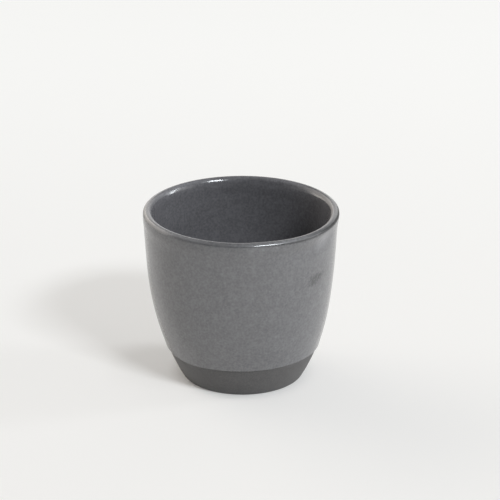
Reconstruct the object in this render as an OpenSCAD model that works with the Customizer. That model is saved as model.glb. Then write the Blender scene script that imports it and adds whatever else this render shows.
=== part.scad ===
// Espresso cup: a small stoneware cup without a handle, with a glazed wall and a bare clay foot.
// It stands on the XY plane, with the axis of the cup along Z. Sizes are in millimetres.

/* [Overall size] */
// Diameter over the glazed lip
rim_diameter = 65; // [58:0.5:76]
// Height from the table to the top of the glazed lip
cup_height = 58.5; // [50:0.5:72]
// Diameter at which the slope of the foot would meet the table
foot_diameter = 40.4; // [35:0.2:46]

/* [Outer wall] */
// Lean of the wall at the foot, in degrees from upright
foot_lean = 30; // [20:0.5:35]
// How far the lean of the foot carries up into the curve of the wall
foot_pull = 21; // [14:0.5:26]
// Lean of the wall at the neck below the lip, in degrees from upright
neck_lean = 4; // [0:0.5:9]
// How far the lean of the neck carries down into the curve of the wall
neck_pull = 13; // [6:0.5:20]

/* [Lip] */
// Thickness of the lip with its glaze
lip_thickness = 2.7; // [2.2:0.1:4]
// Height of the lip, from the neck to the top of the cup
lip_height = 6; // [3.4:0.1:8]
// How far the lip stands out past the neck
lip_overhang = 0.45; // [0:0.05:1]

/* [Clay] */
// Thickness of the clay wall at the neck
neck_wall = 2.4; // [1.8:0.1:3.4]
// Thickness of the clay wall at the foot
foot_wall = 4.4; // [3:0.1:6]
// Thickness of the clay floor above the hollow of the foot
floor_thickness = 4; // [3:0.1:7]
// Radius of the curve between the floor and the inner wall
floor_curve = 9; // [5:0.5:11]

/* [Foot] */
// Width of the ring that the cup stands on
ring_width = 4; // [2.5:0.1:6]
// Depth of the hollow inside the ring
hollow_depth = 1.2; // [0.6:0.1:2.4]
// Radius that takes the sharp edge off the foot
foot_edge = 0.9; // [0.4:0.1:1.6]

/* [Glaze] */
// Thickness of the glaze coats
glaze_thickness = 0.3; // [0.15:0.05:0.6]
// Height of the lower edge of the outer glaze above the table
glaze_line = 11; // [6:0.2:20]
// Thickness of the roll in which the outer glaze ends
roll_thickness = 0.42; // [0.2:0.02:0.8]
// Height over which that roll thins to the even coat
roll_height = 3.2; // [1.5:0.1:6]

/* [Hidden] */
clay_colour = [0.33, 0.325, 0.325];
glaze_colour = [0.45, 0.45, 0.455];
liner_colour = [0.36, 0.36, 0.375];
$fn = 144;
wall_steps = 32;
lip_steps = 8;
throat_steps = 12;
floor_steps = 8;
edge_steps = 5;
// Neighbouring points of one outline stay at least this far apart
least_step = 0.05;
// Share of the way up to the crest that the inner wall carries straight on before it rolls over
throat_fullness = 0.3;

// Directions up along a wall that leans outwards, and square to it on its outer side
function up(lean) = [sin(lean), cos(lean)];
function out(lean) = [cos(lean), -sin(lean)];

// A circular arc, and a curve that leaves a towards b and comes into d from c
function arc(centre, radius, from, to, steps) =
    [for (i = [0:steps])
        let (angle = from + (to - from) * i / steps)
            centre + radius * [cos(angle), sin(angle)]];
function curve(a, b, c, d, steps) =
    [for (i = [0:steps])
        let (t = i / steps, u = 1 - t)
            u * u * u * a + 3 * u * u * t * b + 3 * u * t * t * c + t * t * t * d];

// Outlines are lists of [radius, height] points that run upwards
function backwards(points) = [for (i = [len(points) - 1:-1:0]) points[i]];
function after_first(points) = [for (i = [1:len(points) - 1]) points[i]];
function above(points, height) = [for (p = points) if (p[1] > height + least_step) p];
function below(points, height) = [for (p = points) if (p[1] < height - least_step) p];
function lean_at(points, i) =
    let (step = points[min(i + 1, len(points) - 1)] - points[max(i - 1, 0)])
        atan2(step[0], step[1]);
// The outline moved square to itself, each point outwards by its own distance
function moved_out(points, distances) =
    [for (i = [0:len(points) - 1]) points[i] + distances[i] * out(lean_at(points, i))];
function moved_evenly(points, distance) = moved_out(points, [for (p = points) distance]);
// Radius and lean of an outline at a height
function radius_at(points, height) = lookup(height, [for (p = points) [p[1], p[0]]]);
function lean_at_height(points, leans, height) =
    lookup(height, [for (i = [0:len(points) - 1]) [points[i][1], leans[i]]]);

foot_radius = foot_diameter / 2;
rim_radius = rim_diameter / 2;

// Underside: a shallow hollow inside the ring, with a rounded step between them
ring_inner = foot_radius - ring_width;
step_radius = hollow_depth / 2;
underside = concat(
    [[0, hollow_depth]],
    arc([ring_inner - hollow_depth, step_radius], step_radius, 90, 0, edge_steps),
    after_first(arc([ring_inner, step_radius], step_radius, 180, 270, edge_steps)));

// Outer face of the clay: rounded foot, wall in one curve up to the neck, flare out to the lip
edge_centre = [foot_radius - foot_edge * (1 - sin(foot_lean)) / cos(foot_lean), foot_edge];
foot_round = arc(edge_centre, foot_edge, -90, -foot_lean, edge_steps);
foot_top = edge_centre + foot_edge * out(foot_lean);
neck = [rim_radius - lip_overhang - glaze_thickness, cup_height - lip_height];
wall = curve(foot_top, foot_top + foot_pull * up(foot_lean),
    neck - neck_pull * up(neck_lean), neck, wall_steps);
lip_radius = lip_thickness / 2;
lip_centre = [rim_radius - lip_radius, cup_height - lip_radius];
clay_lip_radius = lip_radius - glaze_thickness;
lip_reach = (lip_centre[1] - neck[1]) / 2;
lip_outer = lip_centre + [clay_lip_radius, 0];
flare = curve(neck, neck + lip_reach * up(neck_lean), lip_outer - lip_reach * up(0), lip_outer, lip_steps);

// The glaze line splits the wall into a bare stretch and a glazed one
wall_leans = [for (i = [0:wall_steps]) lean_at(wall, i)];
line_point = [radius_at(wall, glaze_line), glaze_line];
line_lean = lean_at_height(wall, wall_leans, glaze_line);
bare_outline = concat(foot_round, after_first(below(wall, glaze_line)));
glazed_outline = concat(
    [line_point],
    above(wall, glaze_line),
    after_first(flare),
    after_first(arc(lip_centre, clay_lip_radius, 0, 90, lip_steps)));

// Outer face of the glaze: a quarter-round roll at the glaze line, thinning to the even coat
function roll_share(height) =
    height > glaze_line + roll_height ? 0 : (1 + cos(180 * (height - glaze_line) / roll_height)) / 2;
coated_wall = above(wall, glaze_line + roll_thickness);
coat = [for (p = coated_wall) glaze_thickness + (roll_thickness - glaze_thickness) * roll_share(p[1])];
roll = [for (i = [1:edge_steps])
    let (angle = 90 * i / edge_steps)
        line_point + roll_thickness * ((1 - cos(angle)) * up(line_lean) + sin(angle) * out(line_lean))];
glaze_face = concat(
    roll,
    moved_out(coated_wall, coat),
    after_first(moved_evenly(flare, glaze_thickness)),
    after_first(arc(lip_centre, lip_radius, 0, 90, lip_steps)));

// Inner face of the clay: the wall thins from foot to neck, and a round curve joins it to the floor
floor_top = hollow_depth + floor_thickness;
wall_thickness = [for (p = wall)
    let (share = (p[1] - foot_top[1]) / (neck[1] - foot_top[1]))
        foot_wall + (neck_wall - foot_wall) * share];
inner_wall = moved_out(wall, -wall_thickness);
// Places where the centre of the round curve could lie, and the one at the height of its own radius
centre_line = moved_out(wall, [for (t = wall_thickness) -t - floor_curve]);
floor_centre = [radius_at(centre_line, floor_top + floor_curve), floor_top + floor_curve];
floor_lean = lean_at_height(centre_line, wall_leans, floor_centre[1]);
floor_end = floor_centre + floor_curve * out(floor_lean);

// Throat: the inner wall rolls over into the crest, which is as round on its inner side as on its outer side
crest = lip_centre + [0, clay_lip_radius];
throat_start = inner_wall[wall_steps];
throat_handle = throat_start + throat_fullness * (crest[1] - throat_start[1]) * up(neck_lean);
crest_reach = sqrt(2 / 3 * (crest[1] - throat_handle[1]) * clay_lip_radius);
throat = curve(throat_start, throat_handle, crest - [crest_reach, 0], crest, throat_steps);

// Inner face from the top of the lip down to the middle of the floor, under a coat of glaze
function inside(coat_thickness) = concat(
    [crest + [0, coat_thickness]],
    after_first(backwards(moved_evenly(throat, -coat_thickness))),
    after_first(backwards(moved_evenly(above(inner_wall, floor_end[1]), -coat_thickness))),
    backwards(arc(floor_centre, floor_curve - coat_thickness, -90, -floor_lean, floor_steps)),
    [[0, floor_top + coat_thickness]]);

// Fired clay: foot, wall, lip and floor in one piece
module stoneware_body() {
    color(clay_colour)
        rotate_extrude()
            polygon(concat(underside, bare_outline, glazed_outline, after_first(inside(0))));
}

// Glaze on the outside, from the top of the lip down to the glaze line
module outer_glaze() {
    color(glaze_colour)
        rotate_extrude()
            polygon(concat(glazed_outline, backwards(glaze_face)));
}

// Glaze on the inside, from the top of the lip over the wall and the floor
module liner_glaze() {
    color(liner_colour)
        rotate_extrude()
            polygon(concat(inside(0), backwards(inside(glaze_thickness))));
}

stoneware_body();
outer_glaze();
liner_glaze();
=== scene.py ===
"""Espresso cup: a small stoneware cup without a handle, glazed inside and out above a bare clay foot."""

import math

import bpy
from bpy.props import FloatProperty, FloatVectorProperty, PointerProperty
from bpy.types import Operator, Panel, PropertyGroup
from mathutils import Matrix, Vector, noise
from mathutils.geometry import interpolate_bezier


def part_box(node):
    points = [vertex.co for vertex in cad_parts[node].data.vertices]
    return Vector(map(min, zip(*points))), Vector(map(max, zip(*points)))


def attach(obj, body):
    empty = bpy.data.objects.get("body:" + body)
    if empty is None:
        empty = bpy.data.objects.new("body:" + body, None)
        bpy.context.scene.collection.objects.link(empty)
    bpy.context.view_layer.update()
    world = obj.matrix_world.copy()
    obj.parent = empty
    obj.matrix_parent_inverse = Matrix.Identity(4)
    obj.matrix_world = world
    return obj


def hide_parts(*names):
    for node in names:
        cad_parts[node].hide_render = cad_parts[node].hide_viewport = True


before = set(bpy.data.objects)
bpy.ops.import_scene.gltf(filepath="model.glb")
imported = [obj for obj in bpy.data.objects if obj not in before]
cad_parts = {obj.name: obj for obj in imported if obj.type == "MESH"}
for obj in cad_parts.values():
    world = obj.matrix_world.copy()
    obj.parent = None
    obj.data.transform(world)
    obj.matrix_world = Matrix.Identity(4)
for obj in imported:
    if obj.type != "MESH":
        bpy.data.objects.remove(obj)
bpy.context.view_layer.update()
LINER_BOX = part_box("liner_glaze")
GLAZE_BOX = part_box("outer_glaze")

bl_info = {
    "name": "Espresso Cup",
    "version": (1, 0, 0),
    "blender": (4, 5, 0),
    "location": "View3D > Sidebar > Espresso Cup",
    "description": "Models a glazed stoneware espresso cup on its packed frame",
    "category": "Add Mesh",
}

MILLIMETRE = 0.001
# Attribute that keeps each point's height as thrown
HEIGHT_NOTE = "thrown_height"

# How finely the outlines are drawn and spun
SPIN_STEPS = 192
WALL_STEPS = 64
LIP_STEPS = 20
THROAT_STEPS = 40
FLOOR_STEPS = 16
EDGE_STEPS = 8
# Neighbouring points of one outline stay at least this far apart
LEAST_STEP = MILLIMETRE / 20
# Size of the plane that is merged to an outline's first point
DRAWING_START = MILLIMETRE
MERGE_DISTANCE = 1e-6
CREASE_ANGLE = math.radians(40)
# Share of the way to the crest that the inner wall carries straight on
THROAT_FULLNESS = 0.3

# Lattice for the marks of throwing by hand: its points each way, and its size as a multiple of the rim's
HAND_LATTICE = (20, 20, 44)
LATTICE_MARGIN = 1.1
# Draw of the wall's unevenness
WOBBLE_SEED = 4
# Shares of the height between which the wall leans, and the share of the lean that the foot takes up
LEAN_START = 0.09
LEAN_END = 0.62
LEAN_BALANCE = 0.45
# How sharply the unevenness of the rim grows towards the top
RIM_RISE_POWER = 4

# Layers of the mottling: how many times finer than the first, and share of the whole
MOTTLE_LAYERS = ((1.0, 0.15), (3.1, 0.25), (8.3, 0.6))
MOTTLE_DETAIL = 1.0
# Values between which the mottling mostly lies
MOTTLE_RANGE = (0.3, 0.7)
# Share of a speck's radius over which its edge fades
SPECK_SOFTNESS = 0.7

# Glaze: fineness of its mottling, and what the mottling does to colour and roughness
GLAZE_MOTTLE = 170.0
GLAZE_CLOUDS = (0.84, 1.16)
GLAZE_ROUGHNESS = (0.14, 0.22)
GLAZE_RELIEF = {"Strength": 0.15, "Distance": 0.00005}
GLAZE_IOR = 1.64
# Specks: how many to the metre, share of places with one and largest reach, then strength and tone
LIGHT_SPECKS = {"Scale": 900.0, "Share": 0.3, "Reach": 0.6}
LIGHT_SPECK_STRENGTH = 0.2
LIGHT_SPECK_TONE = 1.8
DARK_SPECKS = {"Scale": 700.0, "Share": 0.3, "Reach": 0.6}
DARK_SPECK_STRENGTH = 0.3
DARK_SPECK_TONE = 0.6

# Bare clay, in the same way
CLAY_MOTTLE = 260.0
CLAY_CLOUDS = (0.8, 1.2)
CLAY_ROUGHNESS = (0.5, 0.65)
CLAY_RELIEF = {"Strength": 0.5, "Distance": 0.0001}
CLAY_GRIT = {"Scale": 1300.0, "Share": 0.25, "Reach": 0.5}
GRIT_STRENGTH = 0.3
GRIT_TONE = 1.8

# Lip's painted shade over thinned glaze, and its duller edge, by height above the lip's widest line: where
# they start on each coat, and how far they fade in
OUTER_LIP_START = -0.35 * MILLIMETRE
LINER_LIP_START = -0.1 * MILLIMETRE
LIP_FADE = 0.8 * MILLIMETRE
# Heights between which the painted shade and dullness of the outer edge end, and the painted highlight of
# the crest begins
EDGE_END = (0.9 * MILLIMETRE, 1.35 * MILLIMETRE)
CREST_START = (0.35 * MILLIMETRE, 1.1 * MILLIMETRE)
# How much darker the outer coat is along the edge, where the glaze has thinned and shade is painted
THIN_AND_SHADE_DEPTH = 0.95
# Distances to the right between which painted shade covers the whole edge, and painted shade on its lower
# line gets deeper
SHADED_EDGE_SIDE = (0.014, 0.029)
SHADE_LINE_SIDE = (0.004, 0.02)
SHADE_LINE_DEPTH = (0.1, 0.8)
# Painted highlight on the crest, lighter away from the middle: distances from the middle, and how much
# lighter it makes the glaze there
CREST_HIGHLIGHT_SIDE = (0.006, 0.02)
CREST_HIGHLIGHT_DEPTH = (0.08, 0.42)
CREST_HIGHLIGHT_END = (0.025, 0.032)
CREST_HIGHLIGHT_END_SHARE = 0.4
# Distances to the right and to the left between which the edge gets duller, and how much
DULL_RIGHT = (0.004, 0.03)
DULL_LEFT = (0.019, 0.029)
DULLNESS = 0.35

# Outer glaze: depth of the smudge that firing left in it, and that depth's shares for a painted highlight
# and a painted shade below the lip
MARK_DEPTH = 0.42
PAINTED_HIGHLIGHT_SHARE = 1.1
SHADE_SHARE = 0.36
# Middle, turn, and half of the length, thickness and height of smudge and painted highlight
SMUDGE = {
    "Location": (0.0239, -0.0197, 0.0414),
    "Rotation": (0.0, math.radians(-12), math.radians(52)),
    "Scale": (0.0054, 0.004, 0.0027),
}
PAINTED_HIGHLIGHT_PATCH = {
    "Location": (0.0270, -0.0178, 0.0540),
    "Rotation": (0.0, math.radians(-12), math.radians(57)),
    "Scale": (0.0065, 0.004, 0.0036),
}
# Shares of that reach between which a mark fades, and how far clouds move its outline
MARK_FADE = (0.2, 1.0)
MARK_CLOUDS = (0.35, 0.65)
MARK_UNEVENNESS = 0.12
# Shade below the lip: its middle, distances from there between which it ends, and its height
SHADE_MIDDLE = -0.011
SHADE_END = (0.008, 0.016)
SHADE_DROP = 4.5 * MILLIMETRE

# Floor: its size and finish, and the distances behind the cup between which painted light makes it lighter
FLOOR_SIZE = 6.0
FLOOR_ROUGHNESS = 0.9
FAR_FLOOR = (-0.1, 0.4)
FAR_TONE = 1.08
FAR_LIFT = 0.2
# Where the shadow is lightened less: round its deepest place, and beside the foot
SHADOW_MIDDLE = (-0.028, 0.004, 0.0)
SHADOW_EDGE = (0.01, 0.024)
SHADOW_SHARE = 0.62
CONTACT_EDGE = (0.0195, 0.0262)
CONTACT_SHARE = 0.22

# Soft edges of the room's parts, as cosines of the angle from their middles
WALL_EDGE = (-0.35, 0.1)
FLAG_EDGE = (0.85, 0.97)
WINDOW_EDGE = (0.8, 0.97)
PANEL_EDGE = (0.7, 0.95)
# Their upper edges, and where the overhead light begins, as sines of the height above the horizon
WALL_TOP = (0.35, 0.6)
PANEL_TOP = (0.35, 0.85)
OVERHEAD_START = (0.5, 0.85)
SENSOR_WIDTH = 36.0


def length(name, description, default):
    """A size that the user can change, in metres."""
    return FloatProperty(name=name, description=description, default=default, unit="LENGTH", precision=5)


def angle(name, description, degrees):
    """An angle that the user can change."""
    return FloatProperty(name=name, description=description, default=math.radians(degrees), subtype="ANGLE")


def colour(name, description, default):
    """A colour that the user can change."""
    return FloatVectorProperty(
        name=name, description=description, default=default, subtype="COLOR", size=3, min=0, max=1)


def number(name, description, default):
    """A plain number that the user can change."""
    return FloatProperty(name=name, description=description, default=default, precision=4)


class CupSizes(PropertyGroup):
    """Sizes of the cup, as its solids have them."""

    rim_diameter: length("Rim", "Diameter over the glazed lip", GLAZE_BOX[1].x - GLAZE_BOX[0].x)
    cup_height: length("Height", "Height from the table to the top of the lip", GLAZE_BOX[1].z)
    foot_diameter: length("Foot", "Diameter at which the slope of the foot meets the table", 0.0404)
    foot_lean: angle("Foot lean", "Lean of the wall at the foot, from upright", 30)
    foot_pull: length("Foot pull", "How far the lean of the foot carries up the wall", 0.021)
    neck_lean: angle("Neck lean", "Lean of the wall at the neck below the lip", 4)
    neck_pull: length("Neck pull", "How far the lean of the neck carries down the wall", 0.013)
    lip_thickness: length("Lip thickness", "Thickness of the lip with its glaze", 0.0027)
    lip_height: length("Lip height", "Height from the neck to the top of the lip", 0.006)
    lip_overhang: length("Lip overhang", "How far the lip stands out past the neck", 0.00045)
    neck_wall: length("Neck wall", "Thickness of the clay wall at the neck", 0.0024)
    foot_wall: length("Foot wall", "Thickness of the clay wall at the foot", 0.0044)
    floor_top: length("Floor", "Height of the clay floor inside the cup", LINER_BOX[0].z)
    floor_curve: length("Floor curve", "Radius of the curve from floor to inner wall", 0.009)
    ring_width: length("Foot ring", "Width of the ring that the cup stands on", 0.004)
    hollow_depth: length("Hollow", "Depth of the hollow inside the foot ring", 0.0012)
    foot_edge: length("Foot edge", "Radius of the rounded edge of the foot", 0.0009)
    glaze_thickness: length("Glaze", "Thickness of the glaze coats", 0.0003)
    glaze_line: length("Glaze line", "Height of the lower edge of the outer glaze", 0.011)
    roll_thickness: length("Roll", "Thickness of the roll in which the outer glaze ends", 0.00042)
    roll_height: length("Roll height", "Height over which the roll thins to the coat", 0.0032)


class CupHandMarks(PropertyGroup):
    """What throwing by hand leaves in the shape."""

    lean: length("Lean", "How far the wall leans to the left between its foot and its middle", 0.00068)
    lip_shift: length("Lip shift", "How far the lip lies off the middle of the neck", 0.00037)
    lip_turn: angle("Lip turn", "Direction of the lip's shift, to the right of the front", 57)
    rim_tilt: length("Rim tilt", "How much lower the rim is on its low side", 0.00022)
    rim_tilt_turn: angle("Rim tilt turn", "Where the rim is lowest, to the right of the front", 72)
    rim_wave: length("Rim wave", "Rise and fall of the rim, twice round the cup", 0.00015)
    rim_flat: length("Rim flat", "How far the rim lies inside a true circle where it is flat", 0.00055)
    rim_flat_turn: angle("Rim flat turn", "Where the rim is flat, to the right of the front", 16.5)
    rim_flat_width: length("Rim flat width", "Half of the width of that flat stretch", 0.008)
    pinch: length("Pinch", "Depth of the thumb mark in the neck", 0.0008)
    pinch_turn: angle("Pinch turn", "Where the thumb mark lies, to the right of the front", 48)
    pinch_width: length("Pinch width", "Half of the width of the thumb mark", 0.018)
    pinch_height: length("Pinch height", "Half of the height of the thumb mark", 0.0022)
    pinch_drop: length("Pinch drop", "How far below the top of the lip the thumb mark lies", 0.0044)
    pinch_climb: number("Pinch climb", "How steeply the thumb mark climbs to the right", 0.12)
    swell: length("Swell", "How far the lip swells out low down at the left", 0.0003)
    swell_turn: angle("Swell turn", "Where that swelling lies, to the right of the front", -42)
    swell_width: length("Swell width", "Half of the width of that swelling", 0.020)
    swell_height: length("Swell height", "Half of the height of that swelling", 0.0016)
    swell_drop: length("Swell drop", "How far below the top of the lip that swelling lies", 0.0032)
    line_dip: length("Line dip", "How far the glaze has run down at the dip in its lower edge", 0.0007)
    line_dip_turn: angle("Line dip turn", "Where that dip lies, to the right of the front", -43)
    line_dip_width: length("Line dip width", "Half of the width of that dip", 0.006)
    wobble: length("Wobble", "Unevenness of the wall", 0.00012)
    wobble_size: length("Wobble size", "Distance over which the unevenness changes", 0.022)


class CupColours(PropertyGroup):
    """Colours of the cup, of the floor that it stands on and of the light."""

    clay: colour("Clay", "Bare fired clay", (0.102, 0.099, 0.098))
    glaze: colour("Glaze", "Glaze outside the cup", (0.161, 0.160, 0.165))
    # The liner is darker than the outer glaze: the difference is painted shade inside the cup
    liner: colour("Liner", "Glaze inside the cup", (0.138, 0.136, 0.144))
    floor: colour("Floor", "Floor under the cup", (0.940, 0.929, 0.910))
    key: colour("Key light", "Light of the key lamp", (0.92, 0.96, 1.0))
    side: colour("Side light", "Light of the side lamp", (0.92, 0.96, 1.0))
    room: colour("Room light", "Soft light of the room", (1.0, 0.985, 0.965))
    window: colour("Window light", "Light of the window", (1.0, 0.94, 0.86))


class StudioSettings(PropertyGroup):
    """Camera, lamps and room round the cup. Lamps give watts per square metre where the cup stands."""

    view_elevation: angle("View elevation", "Height of the camera above the horizon", 22.8)
    view_distance: length("View distance", "Distance from the camera to the cup", 0.8)
    lens: FloatProperty(
        name="Lens", description="Focal length in millimetres", default=172.0, subtype="DISTANCE_CAMERA")
    aim_right: length("Aim right", "How far right of the cup's middle the camera aims", 0.00277)
    aim_up: length("Aim up", "How far above the cup's middle the camera aims", 0.01338)
    key_turn: angle("Key turn", "Key lamp's turn to the right of the camera", 36)
    key_elevation: angle("Key elevation", "Key lamp's height above the horizon", 39.4)
    key_light: number("Key light", "Irradiance that the key lamp gives the cup", 1.97)
    key_width: length("Key width", "Width of the key lamp", 0.75)
    key_height: length("Key height", "Height of the key lamp", 0.4)
    side_turn: angle("Side turn", "Side lamp's turn to the right of the camera", 98.5)
    side_elevation: angle("Side elevation", "Side lamp's height above the horizon", 14)
    side_light: number("Side light", "Irradiance that the side lamp gives the cup", 0.9)
    side_width: length("Side width", "Width of the side lamp", 0.4)
    side_height: length("Side height", "Height of the side lamp", 1.2)
    lamp_distance: length("Lamp distance", "Distance from the lamps to the cup", 3.0)
    wall_light: number("Wall light", "Brightness of the room's walls behind and beside the cup", 1.3)
    wall_turn: angle("Wall turn", "Middle of those walls, to the right of the camera", 165)
    flag_share: number("Flag", "How much a dark flag behind the cup takes off the light of the walls", 0.9)
    flag_turn: angle("Flag turn", "Middle of that flag, to the right of the camera", 119)
    window_light: number("Window light", "Brightness of the window behind the cup", 2.4)
    window_turn: angle("Window turn", "Middle of the window, to the right of the camera", -130)
    window_elevation: angle("Window elevation", "Height of the window above the horizon", 14)
    panel_light: number("Panel light", "Brightness of the low panel at the left", 0.44)
    panel_turn: angle("Panel turn", "Middle of that panel, to the right of the camera", -92)
    overhead_light: number("Overhead light", "Brightness of the room overhead", 0.29)
    dark_light: number("Dark light", "Brightness of the room in front of the cup", 0.01)
    floor_lift: number("Floor lift", "How much the shadow is lightened on the floor as it is seen", 0.42)


# Outlines: lists of points whose x is the radius and whose y is the height


def up(lean):
    """Direction up along a wall that leans outwards."""
    return Vector((math.sin(lean), math.cos(lean)))


def out(lean):
    """Direction square to a leaning wall, on its outer side."""
    return Vector((math.cos(lean), -math.sin(lean)))


def arc(centre, radius, start, end, steps):
    """Points on a circular arc between two angles in degrees."""
    turns = [math.radians(start + (end - start) * i / steps) for i in range(steps + 1)]
    return [centre + radius * Vector((math.cos(turn), math.sin(turn))) for turn in turns]


def lean_at(points, i):
    """Lean of an outline at one of its points, from its neighbours."""
    step = points[min(i + 1, len(points) - 1)] - points[max(i - 1, 0)]
    return math.atan2(step.x, step.y)


def moved_out(points, distances):
    """The outline moved square to itself, each point outwards by its own distance."""
    return [p + d * out(lean_at(points, i)) for i, (p, d) in enumerate(zip(points, distances))]


def moved_evenly(points, distance):
    """The outline moved square to itself by one distance."""
    return moved_out(points, [distance] * len(points))


def at_height(points, values, height):
    """Value at a height, between the values at an outline's points."""
    for i in range(1, len(points)):
        if points[i].y >= height:
            part = (height - points[i - 1].y) / (points[i].y - points[i - 1].y)
            return values[i - 1] + part * (values[i] - values[i - 1])
    raise ValueError(f"the outline does not reach the height {height}")


def above(points, height):
    """Points of an outline that lie clearly above a height."""
    return [p for p in points if p.y > height + LEAST_STEP]


def below(points, height):
    """Points of an outline that lie clearly below a height."""
    return [p for p in points if p.y < height - LEAST_STEP]


class CupOutline:
    """Outlines of the cup's faces, worked out from its sizes."""

    def __init__(self, sizes):
        self.sizes = sizes
        self.foot_radius = sizes.foot_diameter / 2
        self.rim_radius = sizes.rim_diameter / 2
        self.lip_radius = sizes.lip_thickness / 2
        self.clay_lip_radius = self.lip_radius - sizes.glaze_thickness
        self.lip_centre = Vector((self.rim_radius - self.lip_radius, sizes.cup_height - self.lip_radius))
        self.draw_wall()
        self.draw_inside()

    def draw_wall(self):
        """Rounded foot, wall in one curve up to the neck, flare out to the lip."""
        sizes = self.sizes
        lean = sizes.foot_lean
        edge_inset = sizes.foot_edge * (1 - math.sin(lean)) / math.cos(lean)
        edge_centre = Vector((self.foot_radius - edge_inset, sizes.foot_edge))
        self.foot_round = arc(edge_centre, sizes.foot_edge, -90, -math.degrees(lean), EDGE_STEPS)
        foot_top = self.foot_round[-1]
        neck_radius = self.rim_radius - sizes.lip_overhang - sizes.glaze_thickness
        neck = Vector((neck_radius, sizes.cup_height - sizes.lip_height))
        foot_handle = foot_top + sizes.foot_pull * up(lean)
        neck_handle = neck - sizes.neck_pull * up(sizes.neck_lean)
        self.wall = interpolate_bezier(foot_top, foot_handle, neck_handle, neck, WALL_STEPS + 1)
        self.wall_leans = [lean_at(self.wall, i) for i in range(len(self.wall))]
        lip_outer = self.lip_centre + Vector((self.clay_lip_radius, 0))
        reach = (lip_outer.y - neck.y) / 2
        flare_start = neck + reach * up(sizes.neck_lean)
        flare_end = lip_outer - reach * up(0)
        self.flare = interpolate_bezier(neck, flare_start, flare_end, lip_outer, LIP_STEPS + 1)

    def draw_inside(self):
        """Wall that thins from foot to neck, round curve to the floor, throat up to the lip."""
        sizes = self.sizes
        low, high = self.wall[0].y, self.wall[-1].y
        thinning = [(p.y - low) / (high - low) for p in self.wall]
        thickness = [sizes.foot_wall + (sizes.neck_wall - sizes.foot_wall) * part for part in thinning]
        inner_wall = moved_out(self.wall, [-t for t in thickness])
        # Places where the centre of the round curve could lie, and the one at the height of its own radius
        centre_line = moved_out(self.wall, [-t - sizes.floor_curve for t in thickness])
        centre_height = sizes.floor_top + sizes.floor_curve
        centre_radius = at_height(centre_line, [p.x for p in centre_line], centre_height)
        self.floor_centre = Vector((centre_radius, centre_height))
        self.floor_lean = at_height(centre_line, self.wall_leans, centre_height)
        floor_end = self.floor_centre + sizes.floor_curve * out(self.floor_lean)
        self.inner_wall = above(inner_wall, floor_end.y)
        self.crest = self.lip_centre + Vector((0, self.clay_lip_radius))
        start = inner_wall[-1]
        climb = THROAT_FULLNESS * (self.crest.y - start.y)
        start_handle = start + climb * up(sizes.neck_lean)
        # This reach makes the crest as round on its inner side as on its outer side
        crest_reach = math.sqrt(2 / 3 * (self.crest.y - start_handle.y) * self.clay_lip_radius)
        crest_handle = self.crest - Vector((crest_reach, 0))
        self.throat = interpolate_bezier(start, start_handle, crest_handle, self.crest, THROAT_STEPS + 1)

    def underside(self):
        """Hollow inside the foot ring, from the axis out to the ring."""
        sizes = self.sizes
        inner = self.foot_radius - sizes.ring_width
        step = sizes.hollow_depth / 2
        upper = arc(Vector((inner - sizes.hollow_depth, step)), step, 90, 0, EDGE_STEPS)
        lower = arc(Vector((inner, step)), step, 180, 270, EDGE_STEPS)
        return [Vector((0, sizes.hollow_depth))] + upper + lower[1:]

    def bare(self):
        """Bare clay from the foot ring up to the glaze line."""
        return self.foot_round + below(self.wall, self.sizes.glaze_line)[1:]

    def glazed(self):
        """Clay under the outer glaze, from the glaze line to the top of the lip."""
        line = self.sizes.glaze_line
        start = Vector((at_height(self.wall, [p.x for p in self.wall], line), line))
        crest = arc(self.lip_centre, self.clay_lip_radius, 0, 90, LIP_STEPS)
        return [start] + above(self.wall, line) + self.flare[1:] + crest[1:]

    def glaze_roll(self):
        """Rounded lower edge of the outer glaze."""
        start = self.glazed()[0]
        lean = at_height(self.wall, self.wall_leans, self.sizes.glaze_line)
        points = []
        for i in range(1, EDGE_STEPS + 1):
            turn = math.radians(90 * i / EDGE_STEPS)
            step = (1 - math.cos(turn)) * up(lean) + math.sin(turn) * out(lean)
            points.append(start + self.sizes.roll_thickness * step)
        return points

    def glaze_face(self):
        """Outer face of the glaze: a rounded roll at the glaze line that thins to the even coat."""
        sizes = self.sizes
        coated = above(self.wall, sizes.glaze_line + sizes.roll_thickness)
        thickness = []
        for point in coated:
            climb = min((point.y - sizes.glaze_line) / sizes.roll_height, 1)
            extra = (sizes.roll_thickness - sizes.glaze_thickness) * (1 + math.cos(math.pi * climb)) / 2
            thickness.append(sizes.glaze_thickness + extra)
        flare = moved_evenly(self.flare, sizes.glaze_thickness)
        crest = arc(self.lip_centre, self.lip_radius, 0, 90, LIP_STEPS)
        return self.glaze_roll() + moved_out(coated, thickness) + flare[1:] + crest[1:]

    def inside(self, coat):
        """Inner face from the top of the lip down to the middle of the floor, under a coat of glaze."""
        crest = [self.crest + Vector((0, coat))]
        throat = moved_evenly(self.throat, -coat)[::-1]
        wall = moved_evenly(self.inner_wall, -coat)[::-1]
        curve_start = -math.degrees(self.floor_lean)
        curve = arc(self.floor_centre, self.sizes.floor_curve - coat, curve_start, -90, FLOOR_STEPS)
        return crest + throat[1:] + wall[1:] + curve + [Vector((0, self.sizes.floor_top + coat))]


# Modelling


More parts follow.
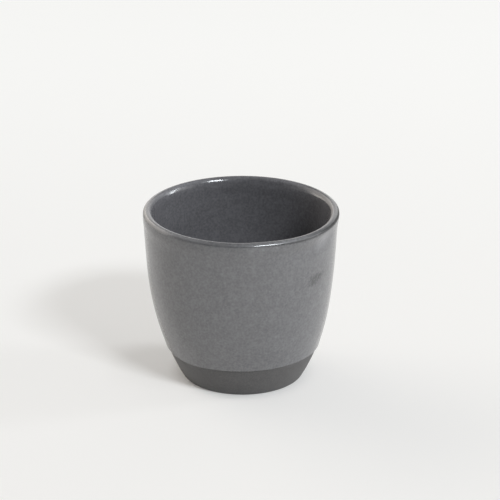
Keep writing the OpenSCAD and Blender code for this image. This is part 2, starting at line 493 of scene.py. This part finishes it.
def draw_and_spin(name, outline):
    """Draws an outline from one vertex, spins it round the cup's axis and closes it."""
    bpy.ops.object.select_all(action="DESELECT")
    bpy.ops.mesh.primitive_plane_add(size=DRAWING_START)
    piece = bpy.context.object
    piece.name = name
    piece.data.name = name
    bpy.ops.object.mode_set(mode="EDIT")
    bpy.ops.mesh.select_mode(type="VERT")
    bpy.ops.mesh.merge(type="CENTER")
    bpy.ops.transform.translate(value=(outline[0].x, 0, outline[0].y))
    for start, end in zip(outline, outline[1:]):
        step = (end.x - start.x, 0, end.y - start.y)
        bpy.ops.mesh.extrude_region_move(TRANSFORM_OT_translate={"value": step})
    bpy.ops.mesh.select_all(action="SELECT")
    bpy.ops.mesh.spin(steps=SPIN_STEPS, angle=math.tau, center=(0, 0, 0), axis=(0, 0, 1))
    bpy.ops.mesh.select_all(action="SELECT")
    bpy.ops.mesh.remove_doubles(threshold=MERGE_DISTANCE)
    bpy.ops.mesh.normals_make_consistent(inside=False)
    bpy.ops.object.mode_set(mode="OBJECT")
    bpy.ops.object.shade_smooth_by_angle(angle=CREASE_ANGLE)
    return piece


def note_height(piece):
    """Keeps each point's height as thrown, so that colours follow the uneven lip."""
    note = piece.data.attributes.new(HEIGHT_NOTE, "FLOAT", "POINT")
    note.data.foreach_set("value", [point.co.z for point in piece.data.vertices])


def smooth_step(value, start, end):
    """Smooth climb from 0 at start to 1 at end."""
    part = min(max((value - start) / (end - start), 0), 1)
    return part * part * (3 - 2 * part)


def bell(value, width):
    """Bell curve of height 1 around zero."""
    return math.exp(-(value / width) ** 2)


def flat_direction(turn):
    """Level direction from the cup's axis, turned to the right of the front."""
    return Vector((math.sin(turn), -math.cos(turn)))


def hand_shift(place, sizes, marks):
    """How far throwing by hand has moved a place on the cup."""
    rise = max(place.z / sizes.cup_height, 0)
    radius = sizes.rim_diameter / 2
    turn = math.atan2(place.x, -place.y)
    outwards = flat_direction(turn)
    neck = sizes.cup_height - sizes.lip_height
    in_lip = smooth_step(place.z, neck, sizes.cup_height - sizes.lip_thickness / 2)
    leaning = smooth_step(place.z, LEAN_START * sizes.cup_height, LEAN_END * sizes.cup_height)
    below_top = sizes.cup_height - place.z
    along = (turn - marks.pinch_turn) * radius
    pinched = bell(marks.pinch_drop - below_top - marks.pinch_climb * along, marks.pinch_height) * bell(
        along, marks.pinch_width)
    swollen = bell(marks.swell_drop - below_top, marks.swell_height) * bell(
        (turn - marks.swell_turn) * radius, marks.swell_width)
    flat = marks.rim_flat * in_lip * bell((turn - marks.rim_flat_turn) * radius, marks.rim_flat_width)
    run = marks.line_dip * bell(place.z - sizes.glaze_line, sizes.roll_height) * bell(
        (turn - marks.line_dip_turn) * sizes.foot_diameter / 2, marks.line_dip_width)
    across = (place.xy / radius).dot(flat_direction(marks.rim_tilt_turn))
    rim_rise = 2 * marks.rim_wave * place.x * place.y / radius ** 2 - marks.rim_tilt * across
    uneven = rise * marks.wobble * noise.noise_vector(place / marks.wobble_size)
    level = marks.lip_shift * in_lip * flat_direction(marks.lip_turn)
    level += Vector((marks.lean * (LEAN_BALANCE - leaning), 0))
    level -= (flat + marks.pinch * pinched + run * math.tan(sizes.foot_lean)) * outwards
    level += marks.swell * swollen * outwards
    return level.to_3d() + Vector((uneven.x, uneven.y, rim_rise * rise ** RIM_RISE_POWER - run))


def shape_by_hand(piece, sizes, marks):
    """Gives a spun piece the unevenness of a thrown cup, with a lattice that is the same for all pieces."""
    box = LATTICE_MARGIN * sizes.rim_diameter
    bpy.ops.object.select_all(action="DESELECT")
    bpy.ops.object.add(type="LATTICE", location=(0, 0, sizes.cup_height / 2))
    lattice = bpy.context.object
    lattice.scale = (box, box, box)
    lattice.data.points_u, lattice.data.points_v, lattice.data.points_w = HAND_LATTICE
    bpy.context.view_layer.update()
    to_cup = lattice.matrix_world.copy()
    to_lattice = to_cup.inverted()
    noise.seed_set(WOBBLE_SEED)
    for point in lattice.data.points:
        place = to_cup @ point.co
        point.co_deform = to_lattice @ (place + hand_shift(place, sizes, marks))
    bend = piece.modifiers.new("Hand shape", "LATTICE")
    bend.object = lattice
    bpy.context.view_layer.objects.active = piece
    bpy.ops.object.modifier_apply(modifier=bend.name)
    bpy.data.objects.remove(lattice)


def throw_piece(name, outline, sizes, marks):
    """Models a piece of the cup: spins its outline, then shapes it by hand."""
    piece = draw_and_spin(name, outline)
    note_height(piece)
    shape_by_hand(piece, sizes, marks)
    return piece


def finish_piece(piece, solid, material):
    """Dresses a piece and sets it in place of its solid."""
    piece.data.materials.clear()
    piece.data.materials.append(material)
    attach(piece, "root")
    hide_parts(solid)


# Materials


def node(tree, kind, inputs=None, **settings):
    """Adds a node. Inputs are values, or sockets to link, by name or number."""
    made = tree.nodes.new(kind)
    for key, value in settings.items():
        setattr(made, key, value)
    for key, value in (inputs or {}).items():
        if isinstance(value, bpy.types.NodeSocket):
            tree.links.new(value, made.inputs[key])
        else:
            made.inputs[key].default_value = value
    return made


def calc(tree, operation, first, second=0.0):
    """Result of a sum on two values."""
    return node(tree, "ShaderNodeMath", {0: first, 1: second}, operation=operation).outputs[0]


def rest(tree, value):
    """What is left of 1."""
    return calc(tree, "SUBTRACT", 1.0, value)


def fade(tree, value, start, end, low=0.0, high=1.0):
    """Value that goes smoothly from low to high as another goes from start to end."""
    made = node(
        tree, "ShaderNodeMapRange",
        {"Value": value, "From Min": start, "From Max": end, "To Min": low, "To Max": high},
        interpolation_type="SMOOTHSTEP")
    return made.outputs[0]


def measure(tree, operation, first, second=(0.0, 0.0, 0.0)):
    """Length, distance or dot product of vectors."""
    made = node(tree, "ShaderNodeVectorMath", {0: first, 1: second}, operation=operation)
    return made.outputs["Value"]


def part_of(tree, vector, axis):
    """One of the three numbers of a vector."""
    return node(tree, "ShaderNodeSeparateXYZ", {0: vector}).outputs[axis]


def blend(tree, factor, first, second, mode="MIX"):
    """Colour between two colours."""
    made = node(tree, "ShaderNodeMix", {0: factor, 6: first, 7: second}, data_type="RGBA", blend_type=mode)
    return made.outputs[2]


def times(tree, colour_socket, value):
    """A colour made lighter or darker by a value."""
    grey = node(tree, "ShaderNodeCombineColor", {0: value, 1: value, 2: value}).outputs[0]
    return blend(tree, 1.0, colour_socket, grey, "MULTIPLY")


def rgba(value, level=1.0):
    """A colour with full alpha, lighter or darker by a level."""
    return (*[min(part * level, 1) for part in value], 1)


def new_group(name, inputs, outputs):
    """A shader node group with its sockets, its input node and its output node."""
    group = bpy.data.node_groups.new(name, "ShaderNodeTree")
    for socket_name, kind in inputs:
        group.interface.new_socket(socket_name, in_out="INPUT", socket_type=kind)
    for socket_name, kind in outputs:
        group.interface.new_socket(socket_name, in_out="OUTPUT", socket_type=kind)
    return group, group.nodes.new("NodeGroupInput").outputs, group.nodes.new("NodeGroupOutput").inputs


def use_group(tree, name, build, inputs):
    """Places a node group in a material. The group is built when it is first needed."""
    group = bpy.data.node_groups.get(name) or build(name)
    return node(tree, "ShaderNodeGroup", inputs, node_tree=group).outputs


def speck_group(name):
    """Round specks scattered over a surface, some cells with one and some without."""
    group, given, result = new_group(
        name,
        [("Vector", "NodeSocketVector"), ("Scale", "NodeSocketFloat"), ("Share", "NodeSocketFloat"),
         ("Reach", "NodeSocketFloat")],
        [("Mask", "NodeSocketFloat")])
    cells = node(group, "ShaderNodeTexVoronoi", {"Vector": given["Vector"], "Scale": given["Scale"]})
    chance = node(group, "ShaderNodeSeparateColor", {"Color": cells.outputs["Color"]})
    present = calc(group, "LESS_THAN", chance.outputs["Red"], given["Share"])
    size = calc(group, "MULTIPLY", given["Reach"], chance.outputs["Green"])
    near = rest(group, calc(group, "DIVIDE", cells.outputs["Distance"], size))
    soft = fade(group, near, 0.0, SPECK_SOFTNESS)
    group.links.new(calc(group, "MULTIPLY", present, soft), result["Mask"])
    return group


def mottle_group(name):
    """Cloudy variation in layers of several sizes, around one half, and the finest layer alone."""
    group, given, result = new_group(
        name,
        [("Vector", "NodeSocketVector"), ("Scale", "NodeSocketFloat")],
        [("Value", "NodeSocketFloat"), ("Fine", "NodeSocketFloat")])
    total = 0.0
    for finer, layer_share in MOTTLE_LAYERS:
        scale = calc(group, "MULTIPLY", given["Scale"], finer)
        layer = node(group, "ShaderNodeTexNoise", {
            "Vector": given["Vector"], "Scale": scale, "Detail": MOTTLE_DETAIL}).outputs["Fac"]
        total = calc(group, "ADD", total, calc(group, "MULTIPLY", layer, layer_share))
    group.links.new(total, result["Value"])
    group.links.new(layer, result["Fine"])
    return group


def new_material(name):
    """An empty node material with its surface shader and the place on the piece."""
    material = bpy.data.materials.new(name)
    material.use_nodes = True
    tree = material.node_tree
    shader = tree.nodes["Principled BSDF"]
    place = tree.nodes.new("ShaderNodeTexCoord").outputs["Object"]
    return material, tree, shader, place


def mottled(tree, place, scale):
    """Mottling of a surface."""
    return use_group(tree, "Mottle", mottle_group, {"Vector": place, "Scale": scale})


def clouded(tree, mottle, low, high):
    """Value that the mottling moves between low and high."""
    return fade(tree, mottle["Value"], *MOTTLE_RANGE, low, high)


def sprinkled(tree, place, ground, specks, strength, tone):
    """A colour with specks of another tone scattered over it."""
    mask = use_group(tree, "Specks", speck_group, {"Vector": place, **specks})["Mask"]
    return blend(tree, calc(tree, "MULTIPLY", mask, strength), ground, tone)


def link_surface(tree, shader, final_colour, roughness, mottle, relief):
    """Gives a surface its colour, its roughness and its fine relief."""
    tree.links.new(final_colour, shader.inputs["Base Color"])
    tree.links.new(roughness, shader.inputs["Roughness"])
    bump = node(tree, "ShaderNodeBump", {"Height": mottle["Fine"], **relief})
    tree.links.new(bump.outputs["Normal"], shader.inputs["Normal"])


def cloudy_patch(tree, place, mottle, mark, depth):
    """Patch with a cloudy outline, for the dark smudge that firing left in the glaze and for a painted
    highlight.
    """
    near = node(tree, "ShaderNodeMapping", {"Vector": place, **mark}, vector_type="TEXTURE").outputs[0]
    clouds = fade(tree, mottle["Value"], *MARK_CLOUDS, -MARK_UNEVENNESS, MARK_UNEVENNESS)
    away = calc(tree, "ADD", measure(tree, "LENGTH", near), clouds)
    return fade(tree, away, *MARK_FADE, depth, 0.0)


def smudge_and_painted_light(tree, place, mottle, rise, depth):
    """How much darker the glaze is made: by painted shade below the lip and a smudge, less by a painted
    highlight.
    """
    across = part_of(tree, place, "X")
    off_middle = calc(tree, "ABSOLUTE", calc(tree, "SUBTRACT", across, SHADE_MIDDLE))
    # Painted shade below the lip, left of the middle
    shade = calc(
        tree, "MULTIPLY", fade(tree, off_middle, *SHADE_END, 1.0, 0.0),
        fade(tree, rise, -SHADE_DROP, 0.0, 0.0, SHADE_SHARE * depth))
    dark = calc(tree, "ADD", shade, cloudy_patch(tree, place, mottle, SMUDGE, depth))
    # Painted highlight below the lip at the right, which lightens the glaze
    return calc(tree, "SUBTRACT", dark, cloudy_patch(tree, place, mottle, PAINTED_HIGHLIGHT_PATCH, PAINTED_HIGHLIGHT_SHARE * depth))


def lip_painted_light_and_dullness(tree, place, rise, lip_start, thin_and_shade_depth):
    """How much darker and duller the glaze is on the lip: thinned, with painted shade, along its outer edge,
    with a painted highlight on its crest.
    """
    across = part_of(tree, place, "X")
    beside = calc(tree, "ABSOLUTE", across)
    on_lip = fade(tree, rise, lip_start, lip_start + LIP_FADE)
    on_edge = calc(tree, "MULTIPLY", on_lip, fade(tree, rise, *EDGE_END, 1.0, 0.0))
    on_crest = fade(tree, rise, *CREST_START)
    # Painted shade along the outer edge where the glaze has thinned: on its lower line, deeper towards the
    # right, and over the whole edge at the right
    shaded_side = fade(tree, across, *SHADED_EDGE_SIDE)
    line = calc(tree, "MULTIPLY", on_lip, rest(tree, on_crest))
    line = calc(tree, "MULTIPLY", line, fade(tree, across, *SHADE_LINE_SIDE, *SHADE_LINE_DEPTH))
    thin_and_shaded = calc(tree, "MAXIMUM", line, calc(tree, "MULTIPLY", on_edge, shaded_side))
    thin_and_shaded = calc(tree, "MULTIPLY", thin_and_shaded, thin_and_shade_depth)
    # Painted highlight on the crest, lighter away from the middle, less at the ends and where the edge is
    # shaded
    crest_highlight = calc(
        tree, "MULTIPLY", fade(tree, beside, *CREST_HIGHLIGHT_SIDE, *CREST_HIGHLIGHT_DEPTH),
        fade(tree, beside, *CREST_HIGHLIGHT_END, 1.0, CREST_HIGHLIGHT_END_SHARE))
    painted_highlight = calc(tree, "MULTIPLY", on_crest, calc(tree, "MULTIPLY", crest_highlight, rest(tree, shaded_side)))
    leftwards = calc(tree, "MULTIPLY", across, -1.0)
    dull = calc(
        tree, "MAXIMUM", fade(tree, across, *DULL_RIGHT, 0.0, DULLNESS),
        fade(tree, leftwards, *DULL_LEFT, 0.0, DULLNESS))
    return calc(tree, "SUBTRACT", thin_and_shaded, painted_highlight), calc(tree, "MULTIPLY", on_edge, dull)


def glaze_material(name, base, sizes, lip_start, thin_and_shade_depth, mark_depth):
    """Glossy speckled glaze, with a painted highlight on the crest of the lip, and painted shade over
    thinned glaze and duller gloss along its edge.
    """
    material, tree, shader, place = new_material(name)
    mottle = mottled(tree, place, GLAZE_MOTTLE)
    thrown = node(tree, "ShaderNodeAttribute", attribute_name=HEIGHT_NOTE).outputs["Fac"]
    rise = calc(tree, "SUBTRACT", thrown, sizes.cup_height - sizes.lip_thickness / 2)
    darker, dull = lip_painted_light_and_dullness(tree, place, rise, lip_start, thin_and_shade_depth)
    # Painted shade and highlights on the lip and below it, with the smudge, darken or lighten the glaze's
    # colour
    darker = calc(tree, "ADD", darker, smudge_and_painted_light(tree, place, mottle, rise, mark_depth))
    shaded = times(tree, rgba(base), clouded(tree, mottle, *GLAZE_CLOUDS))
    shaded = times(tree, shaded, rest(tree, darker))
    light = sprinkled(tree, place, shaded, LIGHT_SPECKS, LIGHT_SPECK_STRENGTH, rgba(base, LIGHT_SPECK_TONE))
    final = sprinkled(tree, place, light, DARK_SPECKS, DARK_SPECK_STRENGTH, rgba(base, DARK_SPECK_TONE))
    roughness = calc(tree, "ADD", clouded(tree, mottle, *GLAZE_ROUGHNESS), dull)
    link_surface(tree, shader, final, roughness, mottle, GLAZE_RELIEF)
    shader.inputs["IOR"].default_value = GLAZE_IOR
    return material


def clay_material(name, base):
    """Bare dark clay: matt, with fine grit."""
    material, tree, shader, place = new_material(name)
    mottle = mottled(tree, place, CLAY_MOTTLE)
    shaded = times(tree, rgba(base), clouded(tree, mottle, *CLAY_CLOUDS))
    final = sprinkled(tree, place, shaded, CLAY_GRIT, GRIT_STRENGTH, rgba(base, GRIT_TONE))
    link_surface(tree, shader, final, clouded(tree, mottle, *CLAY_ROUGHNESS), mottle, CLAY_RELIEF)
    return material


# Studio


def direction(turn, elevation):
    """Direction from the cup, turned to the right of the camera and raised above the horizon."""
    flat = math.cos(elevation)
    return Vector((math.sin(turn) * flat, -math.cos(turn) * flat, math.sin(elevation)))


def add_lamp(name, target, towards, distance, light, light_colour, width, height):
    """A soft lamp that gives the cup a stated irradiance."""
    bpy.ops.object.light_add(type="AREA", location=target + distance * towards)
    lamp = bpy.context.object
    lamp.name = name
    lamp.rotation_euler = towards.to_track_quat("Z", "Y").to_euler()
    lamp.data.shape = "RECTANGLE"
    lamp.data.size = width
    lamp.data.size_y = height
    lamp.data.color = light_colour
    lamp.data.energy = light * math.pi * distance ** 2


def shadow_lift(tree, place, far, lift):
    """How much the shadow is lightened over the floor, where camera and glaze see it."""
    ray = node(tree, "ShaderNodeLightPath").outputs
    seen = calc(tree, "MAXIMUM", ray["Is Camera Ray"], ray["Is Glossy Ray"])
    seen = calc(tree, "MAXIMUM", seen, ray["Is Transmission Ray"])
    from_deepest = measure(tree, "DISTANCE", place, SHADOW_MIDDLE)
    lightened = fade(tree, from_deepest, *SHADOW_EDGE, SHADOW_SHARE * lift, lift)
    lightened = calc(tree, "ADD", lightened, calc(tree, "MULTIPLY", far, FAR_LIFT))
    from_axis = measure(tree, "LENGTH", place)
    lightened = calc(tree, "MULTIPLY", lightened, fade(tree, from_axis, *CONTACT_EDGE, CONTACT_SHARE, 1.0))
    return calc(tree, "MULTIPLY", seen, lightened)


def floor_material(name, floor_colour, lift):
    """Matt pale floor, with painted light that makes it a little lighter far behind the cup."""
    material, tree, shader, place = new_material(name)
    far = fade(tree, part_of(tree, place, "Y"), *FAR_FLOOR)
    # Painted light: the floor's colour gets lighter far behind the cup
    tone = blend(tree, far, rgba(floor_colour), rgba(floor_colour, FAR_TONE))
    tree.links.new(tone, shader.inputs["Base Color"])
    shader.inputs["Roughness"].default_value = FLOOR_ROUGHNESS
    shader.inputs["Specular IOR Level"].default_value = 0.0
    glow = node(tree, "ShaderNodeEmission", {"Color": tone, "Strength": 1.0})
    mixed = node(tree, "ShaderNodeMixShader", {
        0: shadow_lift(tree, place, far, lift), 1: shader.outputs[0], 2: glow.outputs[0]})
    tree.links.new(mixed.outputs[0], tree.nodes["Material Output"].inputs["Surface"])
    return material


def room_patch(tree, towards, middle, edge, low, high):
    """Brightness that goes from low to high over the soft edge of a part of the room."""
    return fade(tree, measure(tree, "DOT_PRODUCT", towards, middle), *edge, low, high)


# Operators


class CupOperator(Operator):
    """Shared by the operators that make a piece of the cup."""

    bl_options = {"REGISTER", "UNDO"}

    def settings(self, context):
        """Sizes, hand marks, colours and outline of the cup."""
        scene = context.scene
        sizes = scene.cup_sizes
        return sizes, scene.cup_hand_marks, scene.cup_colours, CupOutline(sizes)


class CUP_OT_stoneware_body(CupOperator):
    """Models the fired clay body, with its foot, wall, lip and floor in one piece"""

    bl_idname = "espresso_cup.stoneware_body"
    bl_label = "Stoneware Body"

    def execute(self, context):
        sizes, marks, colours, outline = self.settings(context)
        profile = outline.underside() + outline.bare() + outline.glazed() + outline.inside(0)[1:]
        piece = throw_piece("clay_body", profile, sizes, marks)
        finish_piece(piece, "stoneware_body", clay_material("Bare Clay", colours.clay))
        return {"FINISHED"}


class CUP_OT_outer_glaze(CupOperator):
    """Models the glaze coat outside the cup, down to its rolled lower edge"""

    bl_idname = "espresso_cup.outer_glaze"
    bl_label = "Outer Glaze"

    def execute(self, context):
        sizes, marks, colours, outline = self.settings(context)
        clay_face = outline.glazed()
        profile = clay_face + outline.glaze_face()[::-1] + clay_face[:1]
        piece = throw_piece("outer_glaze_coat", profile, sizes, marks)
        material = glaze_material(
            "Speckled Glaze", colours.glaze, sizes, OUTER_LIP_START, THIN_AND_SHADE_DEPTH, MARK_DEPTH)
        finish_piece(piece, "outer_glaze", material)
        return {"FINISHED"}


class CUP_OT_liner_glaze(CupOperator):
    """Models the glaze coat inside the cup, from the top of the lip to the floor"""

    bl_idname = "espresso_cup.liner_glaze"
    bl_label = "Liner Glaze"

    def execute(self, context):
        sizes, marks, colours, outline = self.settings(context)
        clay_face = outline.inside(0)
        profile = clay_face + outline.inside(sizes.glaze_thickness)[::-1] + clay_face[:1]
        piece = throw_piece("liner_glaze_coat", profile, sizes, marks)
        # The inner coat covers the lip evenly: no thinned edge with painted shade, and no smudge or painted
        # shade and highlight below the lip
        material = glaze_material("Liner Glaze", colours.liner, sizes, LINER_LIP_START, 0.0, 0.0)
        finish_piece(piece, "liner_glaze", material)
        return {"FINISHED"}


class CUP_OT_studio(Operator):
    """Sets up the floor, the room, the lamps and the camera"""

    bl_idname = "espresso_cup.studio"
    bl_label = "Studio"
    bl_options = {"REGISTER", "UNDO"}

    def execute(self, context):
        scene = context.scene
        studio = scene.cup_studio
        colours = scene.cup_colours
        middle = Vector((0, 0, scene.cup_sizes.cup_height / 2))
        self.add_floor(colours.floor, studio.floor_lift)
        self.light_room(scene, studio, colours)
        add_lamp(
            "Key Lamp", middle, direction(studio.key_turn, studio.key_elevation), studio.lamp_distance,
            studio.key_light, colours.key, studio.key_width, studio.key_height)
        add_lamp(
            "Side Lamp", middle, direction(studio.side_turn, studio.side_elevation), studio.lamp_distance,
            studio.side_light, colours.side, studio.side_width, studio.side_height)
        self.add_camera(scene, studio, middle)
        scene.view_settings.view_transform = "Standard"
        return {"FINISHED"}

    def add_floor(self, floor_colour, lift):
        """Pale floor, on which camera and glaze see the shadow lightened."""
        bpy.ops.object.select_all(action="DESELECT")
        bpy.ops.mesh.primitive_plane_add(size=FLOOR_SIZE)
        floor = bpy.context.object
        floor.name = "floor"
        floor.data.materials.append(floor_material("Pale Floor", floor_colour, lift))

    def light_room(self, scene, studio, colours):
        """Room with pale walls, a dark flag before them, a window, a low panel and some light overhead."""
        world = bpy.data.worlds.new("Room")
        world.use_nodes = True
        scene.world = world
        tree = world.node_tree
        tree.nodes.clear()
        towards = node(tree, "ShaderNodeTexCoord").outputs["Generated"]
        height = part_of(tree, towards, "Z")
        wall_middle = direction(studio.wall_turn, 0)
        walls = room_patch(tree, towards, wall_middle, WALL_EDGE, 0.0, studio.wall_light)
        walls = calc(tree, "MULTIPLY", walls, fade(tree, height, *WALL_TOP, 1.0, 0.0))
        flag_middle = direction(studio.flag_turn, 0)
        past_flag = room_patch(tree, towards, flag_middle, FLAG_EDGE, 1.0, 1 - studio.flag_share)
        walls = calc(tree, "MULTIPLY", walls, past_flag)
        window_middle = direction(studio.window_turn, studio.window_elevation)
        open_sky = room_patch(tree, towards, window_middle, WINDOW_EDGE, 0.0, 1.0)
        window = calc(tree, "MULTIPLY", open_sky, studio.window_light)
        panel_middle = direction(studio.panel_turn, 0)
        panel = room_patch(tree, towards, panel_middle, PANEL_EDGE, 0.0, studio.panel_light)
        panel = calc(tree, "MULTIPLY", panel, fade(tree, height, *PANEL_TOP, 1.0, 0.0))
        overhead = fade(tree, height, *OVERHEAD_START, studio.dark_light, studio.overhead_light)
        level = calc(tree, "ADD", calc(tree, "ADD", walls, window), calc(tree, "ADD", overhead, panel))
        tint = blend(tree, open_sky, rgba(colours.room), rgba(colours.window))
        room = node(tree, "ShaderNodeBackground", {"Color": tint, "Strength": level})
        node(tree, "ShaderNodeOutputWorld", {"Surface": room.outputs[0]})

    def add_camera(self, scene, studio, middle):
        """Camera in front of the cup, a little above it."""
        back = direction(0, studio.view_elevation)
        right = Vector((1, 0, 0))
        raised = right.cross(-back)
        bpy.ops.object.camera_add(location=middle + studio.view_distance * back)
        camera = bpy.context.object
        aim = middle + studio.aim_right * right + studio.aim_up * raised
        camera.rotation_euler = (aim - camera.location).to_track_quat("-Z", "Y").to_euler()
        camera.data.lens = studio.lens
        camera.data.sensor_width = SENSOR_WIDTH
        scene.camera = camera


class CUP_PT_panel(Panel):
    """Sizes, colours and steps of the espresso cup"""

    bl_label = "Espresso Cup"
    bl_space_type = "VIEW_3D"
    bl_region_type = "UI"
    bl_category = "Espresso Cup"

    def draw(self, context):
        """Lists the settings in boxes, then the steps."""
        scene = context.scene
        for group in (scene.cup_sizes, scene.cup_hand_marks, scene.cup_colours, scene.cup_studio):
            box = self.layout.box()
            for name in group.__annotations__:
                box.prop(group, name)
        for step in STEPS:
            self.layout.operator(step.bl_idname)


STEPS = (CUP_OT_studio, CUP_OT_stoneware_body, CUP_OT_outer_glaze, CUP_OT_liner_glaze)
CLASSES = (CupSizes, CupHandMarks, CupColours, StudioSettings, *STEPS, CUP_PT_panel)


def register():
    """Makes the settings, the operators and the panel known to Blender."""
    for made in CLASSES:
        bpy.utils.register_class(made)
    bpy.types.Scene.cup_sizes = PointerProperty(type=CupSizes)
    bpy.types.Scene.cup_hand_marks = PointerProperty(type=CupHandMarks)
    bpy.types.Scene.cup_colours = PointerProperty(type=CupColours)
    bpy.types.Scene.cup_studio = PointerProperty(type=StudioSettings)


def unregister():
    """Takes back what register made known."""
    del bpy.types.Scene.cup_studio
    del bpy.types.Scene.cup_colours
    del bpy.types.Scene.cup_hand_marks
    del bpy.types.Scene.cup_sizes
    for made in reversed(CLASSES):
        bpy.utils.unregister_class(made)


def main():
    """Builds the cup and its studio."""
    register()
    bpy.ops.espresso_cup.studio()
    bpy.ops.espresso_cup.stoneware_body()
    bpy.ops.espresso_cup.outer_glaze()
    bpy.ops.espresso_cup.liner_glaze()


if __name__ == "__main__":
    main()
